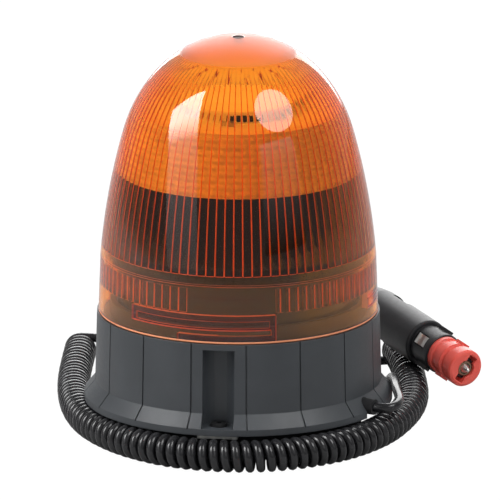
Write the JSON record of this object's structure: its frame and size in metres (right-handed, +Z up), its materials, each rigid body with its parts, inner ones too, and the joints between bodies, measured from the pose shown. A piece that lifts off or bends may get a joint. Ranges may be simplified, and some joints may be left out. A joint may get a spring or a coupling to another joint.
{
  "type": "warning lamp",
  "caption": "Magnet-foot warning lamp with a fluted amber twist-off lens, a black base and a curly cord to a vehicle socket plug with a pull-off adapter sleeve.",
  "frame": {"origin": "on the ground plane under the lamp's axis, at the centre of the magnet foot's face", "axes": "+Z up along the lamp's axis; -Y towards the front screw recess, which the picture faces"},
  "size_m": [0.2397, 0.2713, 0.2207],
  "materials": {
    "boot_rubber": "moulded black rubber",
    "ferrite": "dark grey ferrite",
    "zinc_steel": "zinc plated",
    "black_screw": "black oxide",
    "base_plastic": "fine moulded texture, black",
    "seal_rubber": "soft black seal",
    "amber_lens": "moulded amber polycarbonate",
    "pedestal_plastic": "polished black",
    "green_board": "solder resist",
    "capacitor_can": "sleeved can",
    "chip_black": "epoxy",
    "terminal_green": "moulded green",
    "white_board": "white solder resist",
    "led_face": "diode with phosphor",
    "clear_lens": "clear polycarbonate",
    "white_plastic": "white",
    "sink_aluminium": "sand cast and etched",
    "cord_black": "glossy black sheath",
    "adapter_red": "moulded red",
    "nickel": "nickel plated brass",
    "spring_steel": "spring wire",
    "fuse_glass": "glass tube with plated caps",
    "plug_black": "fine moulded texture, black"
  },
  "bodies": {
    "base": {"magnet_boot": "boot_rubber", "magnet_ring": "ferrite", "pole_plate": "zinc_steel", "base_housing": "base_plastic", "base_screws": "black_screw", "lens_seal": "seal_rubber", "pedestal": "pedestal_plastic", "pedestal_screws": "zinc_steel", "driver_board": "green_board", "board_screws": "zinc_steel", "capacitors": "capacitor_can", "board_chips": "chip_black", "terminal_block": "terminal_green", "led_board": "white_board", "leds": "led_face", "ring_lens": "clear_lens", "engine_cap": "white_plastic", "heat_sink": "sink_aluminium", "vent_liner": "chip_black", "cap_screws": "zinc_steel", "cord_grommet": "boot_rubber", "cord_tail": "cord_black", "plug_nose": "plug_black", "nose_ring": "nickel", "tip_spring": "spring_steel", "fuse": "fuse_glass", "plug_barrel": "plug_black", "plug_body": "plug_black", "plug_boot": "boot_rubber", "cord_lead_base": "cord_black", "cord_coil": "cord_black", "cord_lead_plug": "cord_black"},
    "dome": {"lens_dome": "amber_lens"},
    "tip": {"contact_tip": "nickel"},
    "contact_one": {"contact_near": "nickel"},
    "contact_two": {"contact_far": "nickel"},
    "adapter": {"adapter_sleeve": "adapter_red"}
  },
  "joints": [
    {"name": "lens_twist", "type": "hinge", "parent": "base", "child": "dome", "pos_m": [0, 0, 0.0682], "axis": [0, 0, 1], "range_deg": [0, 41]},
    {"name": "tip_press", "type": "slide", "parent": "base", "child": "tip", "axis": [-0.6248, 0.7715, 0.1201], "range_m": [0, 0.0025], "stiffness_N_per_m": 500, "springref_m": -0.004, "deforming": ["tip_spring"]},
    {"name": "contact_near_press", "type": "slide", "parent": "base", "child": "contact_one", "axis": [0.587, 0.5655, -0.5793], "range_m": [0, 0.0015], "stiffness_N_per_m": 1500, "springref_m": -0.001},
    {"name": "contact_far_press", "type": "slide", "parent": "base", "child": "contact_two", "axis": [-0.587, -0.5655, 0.5793], "range_m": [0, 0.0015], "stiffness_N_per_m": 1500, "springref_m": -0.001},
    {"name": "adapter_pull", "type": "slide", "parent": "base", "child": "adapter", "axis": [0.6248, -0.7715, -0.1201], "range_m": [0, 0.024]}
  ]
}
